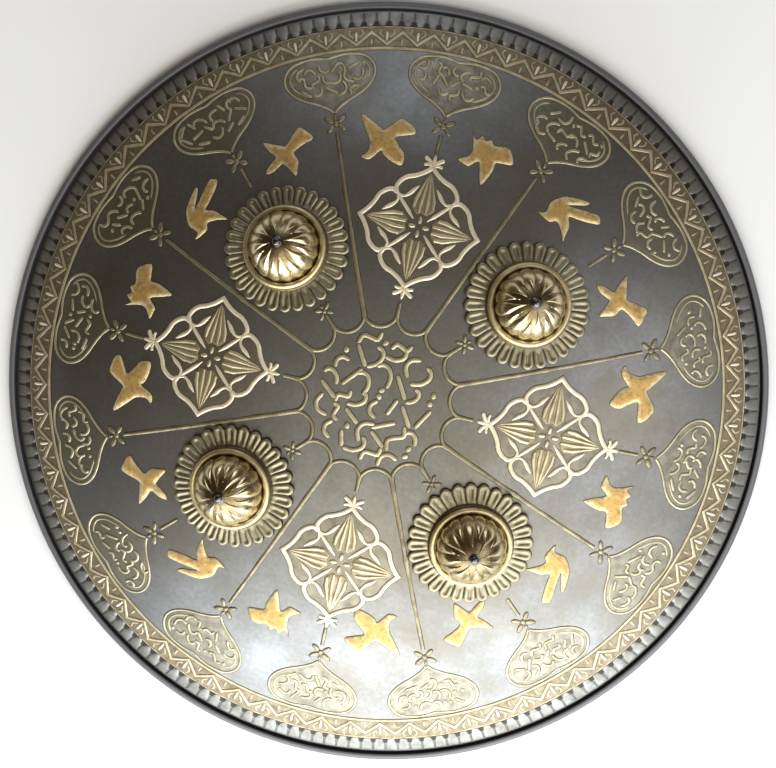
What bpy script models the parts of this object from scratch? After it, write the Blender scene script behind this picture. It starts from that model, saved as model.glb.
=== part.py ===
"""A round domed steel shield with four brass bosses, lying on its rim.

The shield lies crown up. The origin is on the ground under the middle of
the dome, and +Z points up. All sizes are in metres and degrees.
"""
import math

import bmesh
import bpy
from mathutils import Matrix, Vector
from mathutils.geometry import delaunay_2d_cdt

# Shell
shield_radius = 0.190
crown_height = 0.054
dome_power = 2.4
shell_wall = 0.0015
rim_bead_radius = 0.0022
rim_bead_sides = 8
dome_segments = 48
outer_rings = 7
inner_rings = 6

# Fits
fit_gap = 0.0003
shank_clearance = 0.0003

# Shading: steeper edges than this stay sharp
sharp_angle = 25

# Raised ornament on the shell
relief_height = 0.0005
sample_spacing = 0.018
sample_clearance = 0.0045
merge_distance = 0.000001
weld_distance = 0.00001
mitre_limit = 2.2
band_width = 0.0189
band_line_width = 0.0014
spoke_count = 16
arch_radius = 0.00866
arch_crown_radius = 0.034
arch_line_width = 0.0014
arch_points = 3
spoke_root_width = 0.0022
spoke_tip_width = 0.0015
stub_end_radius = 0.0495
stub_end_half_width = 0.0016
stub_end_length = 0.0024
finial_half_width = 0.0042
finial_length = 0.0070
finial_line_gap = 0.0012
cartouche_length = 0.0292
cartouche_line_width = 0.0015
bird_setback = 0.0099
bird_scale = 1.05
medallion_line_width = 0.0020

# Bosses and their rosettes
boss_count = 4
boss_circle_radius = 0.083
boss_steps = 16
boss_lobes = 8
boss_lobe_depth = 0.10
boss_height = 0.0215
boss_dome_radius = 0.0164
boss_dome_turns = (38, 66)
boss_groove_height = 0.0029
collar_radius = 0.0196
collar_width = 0.0024
collar_height = 0.0042
collar_foot_radius = 0.0208
knob_radius = 0.0022
shank_radius = 0.0030
rosette_radius = 0.0306
rosette_notch = 0.0022
rosette_petals = 28
rosette_petal_share = 0.52
rosette_thickness = 0.0014
hole_points = 8

# Fastenings and straps on the inside
washer_radius = 0.0080
washer_points = 12
washer_thickness = 0.0012
rivet_head_radius = 0.0045
rivet_head_height = 0.0012
strap_width = 0.022
strap_thickness = 0.0030
strap_overhang = 0.012
strap_hand_room = 0.031
strap_steps = 10
strap_fullness = 1.2

spoke_angle = 360 / spoke_count

# Bird outlines in millimetres, as (along the rim, outward) from the bird's middle
bird_flying_up = ((-1.2, -10.6), (3.4, -3.7), (8.6, -6.9), (12.0, -6.2), (6.9, -0.8),
                  (10.9, 7.7), (0.6, 4.4), (-6.4, 11.0), (-12.2, 4.8), (-3.2, 0.0))
bird_dove = ((-7.2, -8.6), (2.0, -4.6), (5.8, -8.2), (10.8, -7.6), (10.0, -0.8), (7.2, 6.2),
             (-1.1, 12.0), (2.2, 5.4), (-9.4, 11.2), (-12.0, 8.6), (-1.2, 0.6))
bird_landing = ((-2.6, -11.2), (2.6, -2.2), (7.0, -6.2), (11.6, -5.1), (7.4, 0.0), (10.3, 8.5),
                (-0.9, 7.8), (-8.5, 8.3), (-12.0, 3.0), (-4.8, 0.2))
bird_gliding = ((-11.6, -10.4), (-0.7, -6.5), (3.4, -12.0), (7.6, -11.2), (5.4, -4.6),
                (12.4, 7.3), (-0.1, 3.2), (-7.4, 9.6), (-13.4, 4.8), (-5.4, 0.2))
bird_poses = (bird_gliding, bird_flying_up, bird_dove, bird_landing)

# How far each bird is moved along the rim and outward, in millimetres, and how it leans, in degrees
bird_places = ((6.6, 2.8, -22), (0.5, 0, 0), (1.3, 0.7, -2), (0.5, 1.0, 0),
               (2.6, 1.5, -12), (0.4, 0.8, -8), (1.4, -1.0, -10), (1.2, 0.6, 4),
               (0.4, 0.6, 0), (-1.2, -0.6, -4), (-1.2, -1.4, -5), (-3.2, -2.8, 2),
               (1.8, -4.2, -10), (-0.4, -4.2, 0), (1.0, -3.8, -2), (-1.6, -0.6, 6))

# Half outline of a cartouche, as shares of its length (outward) and width
cartouche_half_width = 0.0222
cartouche_outline = ((0.0, 0.0), (0.30, 0.58), (0.52, 0.96), (0.84, 0.93), (1.0, 0.62))

# One quarter of a medallion's outline between two points, as shares of its radius
medallion_radius = 0.0292
medallion_quarter = ((1.0, 0.0), (0.80, 0.26), (0.70, 0.46), (0.49, 0.49), (0.46, 0.70), (0.26, 0.80))
leaf_outline = ((0.84, 0.0), (0.32, 0.17), (0.20, 0.0), (0.32, -0.17))

# Worked out from the sizes above
edge_radius = shield_radius - 2 * rim_bead_radius
rim_corner_angle = 180 / rim_bead_sides
edge_height = rim_bead_radius * (1 + math.tan(math.radians(rim_corner_angle)))
band_radius = edge_radius - band_width
cartouche_end_radius = band_radius - band_line_width - fit_gap
cartouche_start_radius = cartouche_end_radius - cartouche_length
finial_radius = cartouche_start_radius - finial_length / 2
bird_radius = finial_radius - bird_setback
shank_hole_radius = shank_radius + shank_clearance


def dome_height(radius):
    """Height of the smooth outer surface above the ground."""
    rise = crown_height - edge_height
    return edge_height + rise * (1 - (radius / edge_radius) ** dome_power)


def dome_slope(radius):
    """Downward slope of the outer surface, as rise over run."""
    rise = crown_height - edge_height
    return rise * dome_power / edge_radius * (radius / edge_radius) ** (dome_power - 1)


def inner_height(radius):
    """Height of the inner surface, one wall in from the outer one."""
    return dome_height(radius) - shell_wall * math.hypot(1, dome_slope(radius))


def facet_sag(spacing):
    """How far a flat facet of this length falls below the curved surface."""
    bend = dome_slope(edge_radius) * (dome_power - 1) / edge_radius
    return spacing ** 2 * bend / 8


def turn(point, degrees):
    """Turn a point of the plan about the middle of the shield."""
    angle = math.radians(degrees)
    x, y = point
    return (x * math.cos(angle) - y * math.sin(angle), x * math.sin(angle) + y * math.cos(angle))


def inset(loop, distance):
    """Move each side of a counter-clockwise outline inward by the same distance."""
    moved = []
    for index, point in enumerate(loop):
        here = Vector(point)
        before = (here - Vector(loop[index - 1])).normalized()
        after = (Vector(loop[(index + 1) % len(loop)]) - here).normalized()
        normal_before = Vector((-before.y, before.x))
        normal_after = Vector((-after.y, after.x))
        mitre = (normal_before + normal_after).normalized()
        stretch = 1 / max(mitre.dot(normal_before), 1 / mitre_limit)
        moved.append(tuple(here + mitre * distance * stretch))
    return moved


def collection(name):
    made = bpy.data.collections.new(name)
    bpy.context.scene.collection.children.link(made)
    return made


def material(name, colour, roughness, metallic):
    made = bpy.data.materials.new(name)
    made.use_nodes = True
    shader = made.node_tree.nodes["Principled BSDF"]
    shader.inputs["Base Color"].default_value = (*colour, 1)
    shader.inputs["Roughness"].default_value = roughness
    shader.inputs["Metallic"].default_value = metallic
    return made


def add_object(name, data, home, finish=None):
    made = bpy.data.objects.new(name, data)
    home.objects.link(made)
    if finish:
        data.materials.append(finish)
        data.shade_smooth()
        data.set_sharp_from_angle(angle=math.radians(sharp_angle))
    return made


def hide_helper(helper):
    helper.hide_render = True
    helper.display_type = "WIRE"


def turned(name, profile, steps, home, finish=None):
    """Revolve a profile that starts and ends on the axis, with a flat side facing +X."""
    mesh = bpy.data.meshes.new(name)
    edges = [(index, index + 1) for index in range(len(profile) - 1)]
    mesh.from_pydata([(radius, 0, height) for radius, height in profile], edges, [])
    made = add_object(name, mesh, home, finish)
    made.rotation_euler.z = math.pi / steps
    screw = made.modifiers.new("Turned", "SCREW")
    screw.steps = steps
    screw.render_steps = steps
    screw.use_merge_vertices = True
    screw.merge_threshold = weld_distance
    screw.use_smooth_shade = False
    return made


def evaluated_mesh(source):
    depsgraph = bpy.context.evaluated_depsgraph_get()
    return bpy.data.meshes.new_from_object(source.evaluated_get(depsgraph))


def circle(radius, count):
    return [turn((radius, 0), 360 * step / count) for step in range(count)]


def fill_outlines(loops, extra):
    """Triangles over the plan, each with whether it lies inside an odd number of outlines."""
    points = []
    outlines = []
    for loop in loops:
        outlines.append(list(range(len(points), len(points) + len(loop))))
        points += loop
    points = [Vector(point) for point in points + extra]
    spots, _, triangles, _, _, around = delaunay_2d_cdt(points, [], outlines, 0, merge_distance)
    return spots, triangles, [len(outlines_around) % 2 == 1 for outlines_around in around]


def plate_mesh(name, loops, extra, height):
    """A flat plate with straight edges, and a hole where one outline lies in another."""
    spots, triangles, inside = fill_outlines(loops, extra)
    kept = [triangle for triangle, is_inside in zip(triangles, inside) if is_inside]
    shape = bmesh.new()
    lower = {spot: shape.verts.new((*spots[spot], -height / 2)) for spot in sorted(set(sum(kept, [])))}
    upper = {spot: shape.verts.new((*spots[spot], height / 2)) for spot in lower}
    uses = {}
    for triangle in kept:
        shape.faces.new([lower[spot] for spot in triangle])
        shape.faces.new([upper[spot] for spot in triangle])
        for ends in zip(triangle, triangle[1:] + triangle[:1]):
            uses[frozenset(ends)] = uses.get(frozenset(ends), 0) + 1
    for ends in uses:
        if uses[ends] == 1:
            start, end = ends
            shape.faces.new((lower[start], lower[end], upper[end], upper[start]))
    bmesh.ops.recalc_face_normals(shape, faces=shape.faces)
    mesh = bpy.data.meshes.new(name)
    shape.to_mesh(mesh)
    shape.free()
    return mesh


def boolean(target, operation, cutter):
    modifier = target.modifiers.new(operation.title(), "BOOLEAN")
    modifier.operation = operation
    modifier.object = cutter
    modifier.solver = "EXACT"


def boss_frame(index):
    """The place of a boss on the dome: x outward, z along the boss's axis."""
    angle = math.radians(spoke_angle * 2 + 360 / boss_count * index)
    slope = math.atan(dome_slope(boss_circle_radius))
    place = Matrix.Translation((boss_circle_radius, 0, dome_height(boss_circle_radius)))
    return Matrix.Rotation(angle, 4, "Z") @ place @ Matrix.Rotation(slope, 4, "Y")


def laid_on_dome(point, frame, lift):
    """Drop a point of a boss's own plane onto the dome, then lift it along the axis."""
    spot = frame @ Vector((point[0], point[1], 0))
    axis = frame.to_3x3() @ Vector((0, 0, 1))
    drop = spot.z - dome_height(math.hypot(spot.x, spot.y))
    return spot + axis * (lift - drop * axis.z)


def arch_loops():
    """The arches round the middle with the spokes that grow from their cusps."""
    half_angle = math.radians(spoke_angle / 2)
    centre_radius = arch_crown_radius + arch_radius
    along = centre_radius * math.cos(half_angle)
    across = centre_radius * math.sin(half_angle)

    def cusp(radius, offset):
        """How far out an arch of this radius meets a line beside the spoke's middle."""
        return along - math.sqrt(radius ** 2 - (across - offset) ** 2)

    def arc(radius, offset, angle):
        """The points of the next arch, between its two spokes."""
        x, y = turn((cusp(radius, offset), offset), -spoke_angle / 2)
        half_sweep = math.atan2(-y, centre_radius - x)
        points = []
        for step in range(1, arch_points + 1):
            sweep = half_sweep * (2 * step / (arch_points + 1) - 1)
            point = (centre_radius - radius * math.cos(sweep), radius * math.sin(sweep))
            points.append(turn(point, angle + spoke_angle / 2))
        return points

    outer_radius = arch_radius - arch_line_width / 2
    inner_radius = arch_radius + arch_line_width / 2
    root = spoke_root_width / 2
    tip = spoke_tip_width / 2
    outer = []
    inner = []
    for index in range(spoke_count):
        angle = index * spoke_angle
        side = cusp(outer_radius, root)
        if index % 2:
            head = ((finial_radius - finial_length / 2, tip), (finial_radius, finial_half_width),
                    (finial_radius + finial_length / 2 - fit_gap, 0))
        else:
            head = ((stub_end_radius - stub_end_length, tip), (stub_end_radius, stub_end_half_width),
                    (stub_end_radius + stub_end_length / 2, 0))
        going_out = [(side, -root)] + [(x, -y) for x, y in head]
        coming_back = [head[1], head[0], (side, root)]
        outer += [turn(point, angle) for point in going_out + coming_back]
        outer += arc(outer_radius, root, angle)
        inner.append(turn((cusp(inner_radius, 0), 0), angle))
        inner += arc(inner_radius, 0, angle)
    return [outer, inner]


def finial_loops():
    """Short lines with a finial outside each boss and each medallion."""
    start = boss_circle_radius + rosette_radius + finial_line_gap
    tip = spoke_tip_width / 2
    shape = [(start, -tip), (finial_radius - finial_length / 2, -tip), (finial_radius, -finial_half_width),
             (finial_radius + finial_length / 2 - fit_gap, 0), (finial_radius, finial_half_width),
             (finial_radius - finial_length / 2, tip), (start, tip)]
    return [[turn(point, index * spoke_angle) for point in shape] for index in range(0, spoke_count, 2)]


def cartouche_loops():
    """The double outline of each cartouche: the line between two loops."""
    right = [(cartouche_start_radius + along * cartouche_length, -across * cartouche_half_width)
             for along, across in cartouche_outline]
    left = [(x, -y) for x, y in reversed(right[1:])]
    shape = right + left
    loops = []
    for index in range(spoke_count):
        loop = [turn(point, index * spoke_angle) for point in shape]
        loops += [loop, inset(loop, cartouche_line_width)]
    return loops


def bird_loops():
    """A bird between each two spokes, in four poses that follow each other."""
    loops = []
    for index in range(spoke_count):
        moved_along, moved_out, lean = bird_places[index % len(bird_places)]
        outline = []
        for along, out in bird_poses[index % len(bird_poses)]:
            x, y = turn((out * bird_scale, along * bird_scale), lean)
            outline.append((bird_radius + (x + moved_out) / 1000, (y + moved_along) / 1000))
        loops.append([turn(point, (index + 0.5) * spoke_angle) for point in outline])
    return loops


def medallion_loops():
    """Four pointed quatrefoils, each with four leaves."""
    loops = []
    for index in range(boss_count):
        angle = index * 360 / boss_count
        outline = []
        for quarter in range(4):
            outline += [turn(point, quarter * 90) for point in medallion_quarter]
        outline = [(x * medallion_radius, y * medallion_radius) for x, y in outline]
        leaves = []
        for quarter in range(4):
            leaf = [turn(point, quarter * 90) for point in leaf_outline]
            leaves.append([(x * medallion_radius, y * medallion_radius) for x, y in leaf])
        for loop in [outline, inset(outline, medallion_line_width)] + leaves:
            loops.append([turn((boss_circle_radius + x, y), angle) for x, y in loop])
    return loops


def divide(loop):
    """Add points to the long sides of an outline, so that it can follow the dome."""
    divided = []
    for index, point in enumerate(loop):
        here = Vector(point)
        step = Vector(loop[(index + 1) % len(loop)]) - here
        count = max(1, round(step.length / sample_spacing))
        divided += [tuple(here + step * share / count) for share in range(count)]
    return divided


def distance_to_side(point, start, end):
    """Distance in the plan from a point to one side of an outline."""
    along = end - start
    share = min(max((point - start).dot(along) / along.length_squared, 0), 1)
    return (point - start - along * share).length


def sample_points(loops):
    """Points spread over the dome in rings, away from the ornament's outlines."""
    sides = [(Vector(loop[index - 1]), Vector(loop[index])) for loop in loops for index in range(len(loop))]
    samples = [(0.0, 0.0)]
    for ring in range(1, outer_rings):
        radius = edge_radius * ring / outer_rings
        count = min(dome_segments, round(2 * math.pi * radius / sample_spacing))
        for spot in circle(radius, count):
            here = Vector(spot)
            if min(distance_to_side(here, *side) for side in sides) > sample_clearance:
                samples.append(spot)
    return samples


def add_relief_surface(shape, loops):
    """Cover the dome with triangles, stepped up where they lie inside an ornament."""
    loops = loops + [circle(band_radius - band_line_width / 2, dome_segments),
                     circle(band_radius + band_line_width / 2, dome_segments)]
    extra = sample_points(loops) + circle(edge_radius, dome_segments)
    spots, triangles, raised = fill_outlines(loops, extra)
    made = {}

    def vertex(spot, is_raised):
        if (spot, is_raised) not in made:
            x, y = spots[spot]
            lift = relief_height if is_raised else 0
            made[spot, is_raised] = shape.verts.new((x, y, dome_height(math.hypot(x, y)) + lift))
        return made[spot, is_raised]

    beside = {}
    for triangle, is_raised in zip(triangles, raised):
        shape.faces.new([vertex(spot, is_raised) for spot in triangle])
        for start, end in zip(triangle, triangle[1:] + triangle[:1]):
            beside.setdefault(frozenset((start, end)), set()).add(is_raised)
    for ends, heights in beside.items():
        if len(heights) == 2:
            start, end = ends
            wall = ((start, False), (end, False), (end, True), (start, True))
            shape.faces.new([vertex(*corner) for corner in wall])


def add_rim_and_inside(shape):
    """Spin the rolled rim and the inner surface about the middle."""
    bead_middle = shield_radius - rim_bead_radius
    corner = rim_bead_radius / math.cos(math.radians(rim_corner_angle))
    profile = [(edge_radius, dome_height(edge_radius))]
    for step in range(1, rim_bead_sides):
        angle = math.radians(180 - rim_corner_angle * (2 * step + 1))
        profile.append((bead_middle + corner * math.cos(angle), rim_bead_radius + corner * math.sin(angle)))
    for ring in reversed(range(inner_rings)):
        radius = edge_radius * ring / inner_rings
        profile.append((radius, inner_height(radius)))
    line = [shape.verts.new((radius, 0, height)) for radius, height in profile]
    edges = [shape.edges.new(pair) for pair in zip(line, line[1:])]
    bmesh.ops.spin(shape, geom=line + edges, cent=(0, 0, 0), axis=(0, 0, 1), angle=2 * math.pi,
                   steps=dome_segments, use_merge=True)


def make_shell(home, finish):
    loops = arch_loops() + finial_loops() + cartouche_loops() + bird_loops() + medallion_loops()
    shape = bmesh.new()
    add_relief_surface(shape, [divide(loop) for loop in loops])
    add_rim_and_inside(shape)
    bmesh.ops.remove_doubles(shape, verts=shape.verts, dist=weld_distance)
    bmesh.ops.recalc_face_normals(shape, faces=shape.faces)
    mesh = bpy.data.meshes.new("shell")
    shape.to_mesh(mesh)
    shape.free()
    return add_object("shell", mesh, home, finish)


def make_shank_cutter(index, helpers):
    shape = bmesh.new()
    bmesh.ops.create_cone(shape, cap_ends=True, segments=hole_points, radius1=shank_hole_radius,
                          radius2=shank_hole_radius, depth=boss_height * 2)
    mesh = bpy.data.meshes.new(f"shank_cutter_{index + 1}")
    shape.to_mesh(mesh)
    shape.free()
    cutter = add_object(mesh.name, mesh, helpers)
    cutter.matrix_world = boss_frame(index)
    hide_helper(cutter)
    return cutter


def rosette_lift():
    return fit_gap + facet_sag(rosette_radius)


def make_rosette(index, home, finish):
    """A brass washer with a scalloped edge, dished to lie on the dome."""
    edge = []
    for petal in range(rosette_petals):
        middle = 360 / rosette_petals * petal
        half_petal = rosette_petal_share / 2
        for turned_by, radius in ((-half_petal, rosette_radius), (half_petal, rosette_radius),
                                  (0.5, rosette_radius - rosette_notch)):
            edge.append(turn((radius, 0), middle + turned_by * 360 / rosette_petals))
    hole = circle(shank_hole_radius, hole_points)
    ring = circle(rosette_radius / 2, hole_points * 2)
    mesh = plate_mesh(f"rosette_{index + 1}", [edge, hole], ring, rosette_thickness)
    frame = boss_frame(index)
    for vertex in mesh.vertices:
        lift = rosette_lift() + (rosette_thickness if vertex.co.z > 0 else 0)
        vertex.co = laid_on_dome(vertex.co, frame, lift)
    return add_object(mesh.name, mesh, home, finish)


def strap_lift():
    """Depth of the strap's upper face below the outer surface, at a boss."""
    return shell_wall + fit_gap + facet_sag(edge_radius / inner_rings)


def washer_lift():
    return strap_lift() + strap_thickness + fit_gap + facet_sag(strap_width)


def make_boss(index, home, finish):
    """A fluted dome with a collar, and a shank that is riveted inside the shell."""
    base = rosette_lift() + rosette_thickness + fit_gap
    head_top = -washer_lift() - washer_thickness - fit_gap
    profile = [(0, boss_height), (knob_radius, boss_height - knob_radius / 2)]
    for degrees in boss_dome_turns:
        down = math.radians(degrees)
        rise = (boss_height - boss_groove_height) * math.cos(down)
        profile.append((boss_dome_radius * math.sin(down), boss_groove_height + rise))
    profile += [(boss_dome_radius, boss_groove_height), (collar_radius - collar_width, collar_height),
                (collar_radius, collar_height), (collar_foot_radius, 0)]
    profile = [(radius, base + height) for radius, height in profile]
    profile += [(shank_radius, base), (shank_radius, head_top), (rivet_head_radius, head_top),
                (rivet_head_radius, head_top - rivet_head_height), (0, head_top - rivet_head_height)]
    guide = turned(f"boss_{index + 1}_guide", profile, boss_steps, home)
    mesh = evaluated_mesh(guide)
    bpy.data.objects.remove(guide)
    mesh.name = f"boss_{index + 1}"
    for vertex in mesh.vertices:
        radius = math.hypot(vertex.co.x, vertex.co.y)
        on_dome = knob_radius + weld_distance < radius < boss_dome_radius - weld_distance
        if on_dome and vertex.co.z > base + boss_groove_height:
            ripple = math.cos(boss_lobes * math.atan2(vertex.co.y, vertex.co.x))
            vertex.co.x *= 1 + boss_lobe_depth * ripple
            vertex.co.y *= 1 + boss_lobe_depth * ripple
    boss = add_object(mesh.name, mesh, home, finish)
    boss.matrix_world = boss_frame(index)
    return boss


def make_washer(index, home, finish):
    loops = [circle(washer_radius, washer_points), circle(shank_hole_radius, hole_points)]
    mesh = plate_mesh(f"washer_{index + 1}", loops, [], washer_thickness)
    washer = add_object(mesh.name, mesh, home, finish)
    down = Matrix.Translation((0, 0, -washer_lift() - washer_thickness / 2))
    washer.matrix_world = boss_frame(index) @ down
    return washer


def make_strap(name, first, second, cutters, home, finish):
    """A leather strap that bows down between two bosses' shanks."""
    frames = [boss_frame(first), boss_frame(second)]
    ends = [frame @ Vector((0, 0, -strap_lift())) for frame in frames]
    axes = [frame.to_3x3() @ Vector((0, 0, 1)) for frame in frames]
    along = (ends[1] - ends[0]).normalized()
    tangents = [(along - axis * along.dot(axis)).normalized() for axis in axes]
    seat = washer_radius + fit_gap * 2
    bow_ends = [ends[0] + tangents[0] * seat, ends[1] - tangents[1] * seat]
    middle_top = inner_height(ends[0].lerp(ends[1], 0.5).to_2d().length) - strap_hand_room
    bow = bow_ends[0].z - middle_top
    stations = [(ends[0] - tangents[0] * strap_overhang, 0)]
    for step in range(strap_steps + 1):
        share = step / strap_steps
        drop = bow * max(math.sin(math.pi * share), 0) ** strap_fullness
        stations.append((bow_ends[0].lerp(bow_ends[1], share) - Vector((0, 0, drop)), share))
    stations.append((ends[1] + tangents[1] * strap_overhang, 1))
    shape = bmesh.new()
    rows = []
    for centre, share in stations:
        side = axes[0].lerp(axes[1], share).cross(along).normalized()
        rows.append([shape.verts.new(centre + side * strap_width * half) for half in (-0.5, 0.5)])
    for before, after in zip(rows, rows[1:]):
        shape.faces.new((before[0], before[1], after[1], after[0]))
    bmesh.ops.recalc_face_normals(shape, faces=shape.faces)
    if sum(face.normal.z for face in shape.faces) < 0:
        bmesh.ops.reverse_faces(shape, faces=shape.faces)
    mesh = bpy.data.meshes.new(name)
    shape.to_mesh(mesh)
    shape.free()
    strap = add_object(name, mesh, home, finish)
    wall = strap.modifiers.new("Leather", "SOLIDIFY")
    wall.thickness = strap_thickness
    wall.offset = -1
    for cutter in cutters:
        boolean(strap, "DIFFERENCE", cutter)
    return strap


def main():
    for old in list(bpy.data.objects):
        bpy.data.objects.remove(old)
    parts = collection("round_shield")
    helpers = collection("cutters")
    steel = material("blackened_steel", (0.06, 0.065, 0.075), 0.32, 1.0)
    brass = material("polished_brass", (0.56, 0.43, 0.20), 0.28, 1.0)
    bronze = material("darkened_brass", (0.30, 0.25, 0.14), 0.42, 1.0)
    leather = material("brown_leather", (0.09, 0.045, 0.025), 0.65, 0.0)
    cutters = [make_shank_cutter(index, helpers) for index in range(boss_count)]
    shell = make_shell(parts, steel)
    for index, cutter in enumerate(cutters):
        boolean(shell, "DIFFERENCE", cutter)
        make_rosette(index, parts, bronze)
        make_boss(index, parts, brass)
        make_washer(index, parts, steel)
    make_strap("hand_strap", 0, 1, cutters[:2], parts, leather)
    make_strap("arm_strap", 2, 3, cutters[2:], parts, leather)


main()
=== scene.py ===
# %% [markdown]
# # A round domed shield with four bosses
#
# The shield is one bowl of blackened steel, raised with hammers and then polished. Its lines and
# birds are gilded relief, its four medallions are framed in silver, and four brass bosses are
# riveted through it to hold the leather straps inside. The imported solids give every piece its
# place. Here each of them gets its fine surface.

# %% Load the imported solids
import math
import random

import bmesh
import bpy
from mathutils import Matrix, Vector
from mathutils.geometry import delaunay_2d_cdt


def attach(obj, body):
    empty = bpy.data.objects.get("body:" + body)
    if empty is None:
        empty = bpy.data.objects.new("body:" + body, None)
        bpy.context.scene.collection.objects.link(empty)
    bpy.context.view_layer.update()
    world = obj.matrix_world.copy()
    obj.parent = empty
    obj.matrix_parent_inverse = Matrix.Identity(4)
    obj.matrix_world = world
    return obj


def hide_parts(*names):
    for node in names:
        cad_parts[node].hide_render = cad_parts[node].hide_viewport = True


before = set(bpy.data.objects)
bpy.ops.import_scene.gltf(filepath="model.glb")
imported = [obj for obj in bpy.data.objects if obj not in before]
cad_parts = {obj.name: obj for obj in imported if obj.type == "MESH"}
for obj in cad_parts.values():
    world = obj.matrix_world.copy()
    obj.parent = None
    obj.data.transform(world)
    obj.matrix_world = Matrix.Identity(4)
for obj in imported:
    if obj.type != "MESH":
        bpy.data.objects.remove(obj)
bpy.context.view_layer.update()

print("solids", sorted(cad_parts))

# %% [markdown]
# ## The dome
#
# Everything on the shield follows one curve: how high the polished face stands above the ground
# at each distance from the middle. It is a power curve, flat at the crown and steeper towards the
# rim, as a bowl comes out when it is raised from a flat sheet.

# %% The curve of the dome
mm = 0.001
shield_radius = 190 * mm
rim_bead_radius = 2.2 * mm
shell_wall = 1.5 * mm
edge_radius = shield_radius - 2 * rim_bead_radius
edge_height = rim_bead_radius * (1 + math.tan(math.radians(22.5)))
crown_height = 54 * mm
dome_power = 2.4
dome_rise = crown_height - edge_height
boss_circle_radius = 83 * mm


def dome_height(radius):
    return crown_height - dome_rise * (radius / edge_radius) ** dome_power


def dome_slope(radius):
    return dome_rise * dome_power / edge_radius * (radius / edge_radius) ** (dome_power - 1)


print("dome height at the bosses", round(dome_height(boss_circle_radius) / mm, 1), "mm")

# %% [markdown]
# ## Selecting with care
#
# An operator acts on whatever is selected, and the loaded solids come in selected. These small
# helpers put one object in hand at a time, and finish it: its place is applied to its mesh, it
# rides with the shield's one body, and it stands for the solid that it replaces.

# %% Helpers for one object at a time


def take(piece):
    bpy.ops.object.select_all(action="DESELECT")
    piece.select_set(True)
    bpy.context.view_layer.objects.active = piece


def settle(piece, finish, stands_for=(), sharp=35):
    """Give a finished piece its material and smooth shading, hang it on the shield's body and hide the
    solids it stands for.
    """
    take(piece)
    bpy.ops.object.transform_apply(location=True, rotation=True, scale=True)
    bpy.ops.object.shade_smooth_by_angle(angle=math.radians(sharp))
    piece.data.materials.clear()
    piece.data.materials.append(finish)
    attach(piece, "root")
    if stands_for:
        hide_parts(*stands_for)
    triangles = sum(len(face.vertices) - 2 for face in piece.data.polygons)
    print("made", piece.name, triangles, "triangles")


def placed(name, data):
    """Put a new object in the scene, from a mesh, a camera or a light."""
    made = bpy.data.objects.new(name, data)
    bpy.context.scene.collection.objects.link(made)
    return made


def new_piece(name, shape, turn_out=False):
    """Make a finished bmesh an object. Its faces can be turned to point outward first."""
    if turn_out:
        bmesh.ops.recalc_face_normals(shape, faces=shape.faces)
    mesh = bpy.data.meshes.new(name)
    shape.to_mesh(mesh)
    shape.free()
    return placed(name, mesh)


def store(piece, name, values):
    """Keep one number for each point of a mesh, for its finish to read."""
    piece.data.attributes.new(name, "FLOAT", "POINT").data.foreach_set("value", values)


# %% [markdown]
# ## Shader maths as plain sums
#
# Each finish mixes a clean metal with its tarnish by masks. Wrapping a socket in a small class
# lets a mask be written as a sum, such as 1 - rise * noise, and the Math nodes are added for it.

# %% A socket that can be part of a sum


class Value:
    def __init__(self, board, socket):
        self.board = board
        self.socket = socket

    def maths(self, operation, *others):
        return self.board.add("ShaderNodeMath", {"operation": operation}, self, *others).out(0)

    def __add__(self, other):
        return self.maths("ADD", other)

    def __radd__(self, other):
        return self.maths("ADD", other)

    def __sub__(self, other):
        return self.maths("SUBTRACT", other)

    def __rsub__(self, other):
        return (self * -1) + other

    def __mul__(self, other):
        return self.maths("MULTIPLY", other)

    def __rmul__(self, other):
        return self.maths("MULTIPLY", other)

    def within(self, low, high):
        """0 below low, 1 above high and smooth between."""
        settings = {"interpolation_type": "SMOOTHSTEP"}
        return self.board.add("ShaderNodeMapRange", settings, self, low, high, 0.0, 1.0).out(0)


class Node:
    def __init__(self, board, node):
        self.board = board
        self.node = node

    def out(self, name):
        return Value(self.board, self.node.outputs[name])


# %% A board of shader nodes


class Board:
    """A material's node tree, with its Principled shader ready."""

    def __init__(self, name, metallic, roughness):
        self.material = bpy.data.materials.new(name)
        self.material.use_nodes = True
        self.tree = self.material.node_tree
        self.shader = self.tree.nodes["Principled BSDF"]
        self.feed("Metallic", metallic)
        self.feed("Roughness", roughness)
        self.place = self.add("ShaderNodeTexCoord", {}).out("Object")

    def connect(self, socket, value):
        if isinstance(value, Value):
            self.tree.links.new(value.socket, socket)
        else:
            socket.default_value = value

    def feed(self, name, value):
        self.connect(self.shader.inputs[name], value)

    def add(self, kind, settings, *places, **named):
        node = self.tree.nodes.new(kind)
        for name, value in settings.items():
            setattr(node, name, value)
        for key, value in list(enumerate(places)) + list(named.items()):
            self.connect(node.inputs[key if isinstance(key, int) else key.replace("_", " ")], value)
        return Node(self, node)

    def noise(self, size, detail=3.0, roughness=0.55, place=None):
        """Noise from 0 to 1 whose patches are about this size, in metres."""
        return self.add("ShaderNodeTexNoise", {}, Vector=place or self.place, Scale=1 / size,
                        Detail=detail, Roughness=roughness).out(0)

    def attribute(self, name):
        return self.add("ShaderNodeAttribute", {"attribute_name": name}).out("Fac")

    def mix(self, share, first, second):
        """A colour between two colours."""
        made = self.add("ShaderNodeMix", {"data_type": "RGBA"}).node
        for name, value in (("Factor", share), ("A", first), ("B", second)):
            wanted = "VALUE" if name == "Factor" else "RGBA"
            socket = next(s for s in made.inputs if s.name == name and s.type == wanted)
            self.connect(socket, (*value, 1) if isinstance(value, tuple) else value)
        return Value(self, next(s for s in made.outputs if s.type == "RGBA"))

    def bump(self, height, depth, strength=1.0):
        made = self.add("ShaderNodeBump", {}, Strength=strength, Distance=depth, Height=height)
        self.feed("Normal", made.out("Normal"))


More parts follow.
